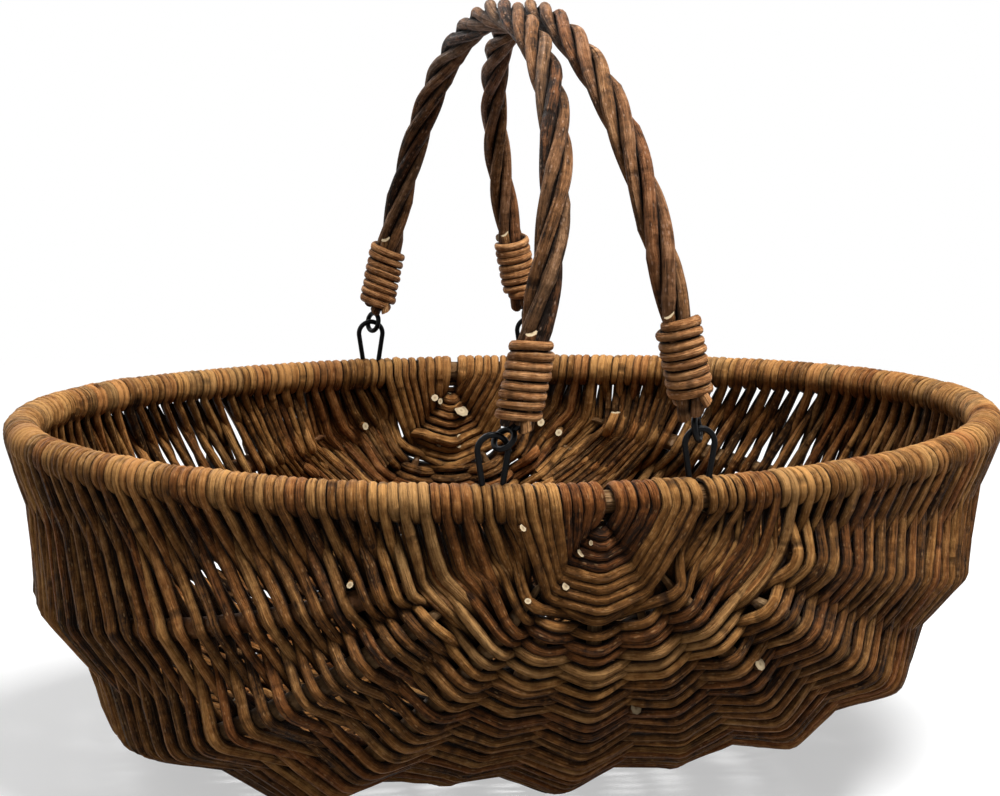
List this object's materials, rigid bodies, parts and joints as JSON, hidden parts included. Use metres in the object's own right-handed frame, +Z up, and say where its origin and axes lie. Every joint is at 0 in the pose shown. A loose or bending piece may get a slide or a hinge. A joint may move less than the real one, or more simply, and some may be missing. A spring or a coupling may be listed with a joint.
{
  "type": "trug garden basket",
  "caption": "Oval rib-built willow basket with a wrapped rim, ribs bound at two woven ears, and two twisted swing handles hung on iron loops at the rim.",
  "frame": {"origin": "middle of the footprint, on the floor that the basket stands on", "axes": "+X along the basket's length to the right, +Y to the back, +Z up"},
  "size_m": [0.601, 0.446, 0.453],
  "materials": {
    "rim_willow": "unpeeled bark, satin",
    "rib_willow": "unpeeled bark, satin",
    "weaving_willow": "unpeeled bark, satin",
    "handle_willow": "unpeeled bark, satin",
    "binding_willow": "unpeeled bark, satin",
    "iron_wire": "black, semi-gloss"
  },
  "bodies": {
    "basket": {"rim_hoop": "rim_willow", "rim_wrap_front": "rim_willow", "rim_wrap_back": "rim_willow", "rim_wrap_left": "rim_willow", "rim_wrap_right": "rim_willow", "keel_rib": "rib_willow", "left_rib_1": "rib_willow", "left_rib_2": "rib_willow", "left_rib_3": "rib_willow", "left_rib_4": "rib_willow", "right_rib_1": "rib_willow", "right_rib_2": "rib_willow", "right_rib_3": "rib_willow", "right_rib_4": "rib_willow", "left_weave_1": "weaving_willow", "left_weave_2": "weaving_willow", "left_weave_3": "weaving_willow", "left_weave_4": "weaving_willow", "left_weave_5": "weaving_willow", "right_weave_1": "weaving_willow", "right_weave_2": "weaving_willow", "right_weave_3": "weaving_willow", "right_weave_4": "weaving_willow", "right_weave_5": "weaving_willow", "front_ear": "weaving_willow", "back_ear": "weaving_willow", "front_left_loop": "iron_wire", "front_right_loop": "iron_wire", "back_left_loop": "iron_wire", "back_right_loop": "iron_wire"},
    "left_handle": {"left_handle_rod_1": "handle_willow", "left_handle_rod_2": "handle_willow", "left_handle_rod_3": "handle_willow", "left_handle_rod_4": "handle_willow", "left_front_binding": "binding_willow", "left_back_binding": "binding_willow", "left_front_eye": "iron_wire", "left_back_eye": "iron_wire"},
    "right_handle": {"right_handle_rod_1": "handle_willow", "right_handle_rod_2": "handle_willow", "right_handle_rod_3": "handle_willow", "right_handle_rod_4": "handle_willow", "right_front_binding": "binding_willow", "right_back_binding": "binding_willow", "right_front_eye": "iron_wire", "right_back_eye": "iron_wire"}
  },
  "joints": [
    {"name": "left_handle_fold", "type": "hinge", "parent": "basket", "child": "left_handle", "pos_m": [-0.0548, 0, 0.2281], "axis": [0, -1, 0], "range_deg": [0, 102]},
    {"name": "right_handle_fold", "type": "hinge", "parent": "basket", "child": "right_handle", "pos_m": [0.0548, 0, 0.2281], "axis": [0, 1, 0], "range_deg": [0, 102]}
  ]
}
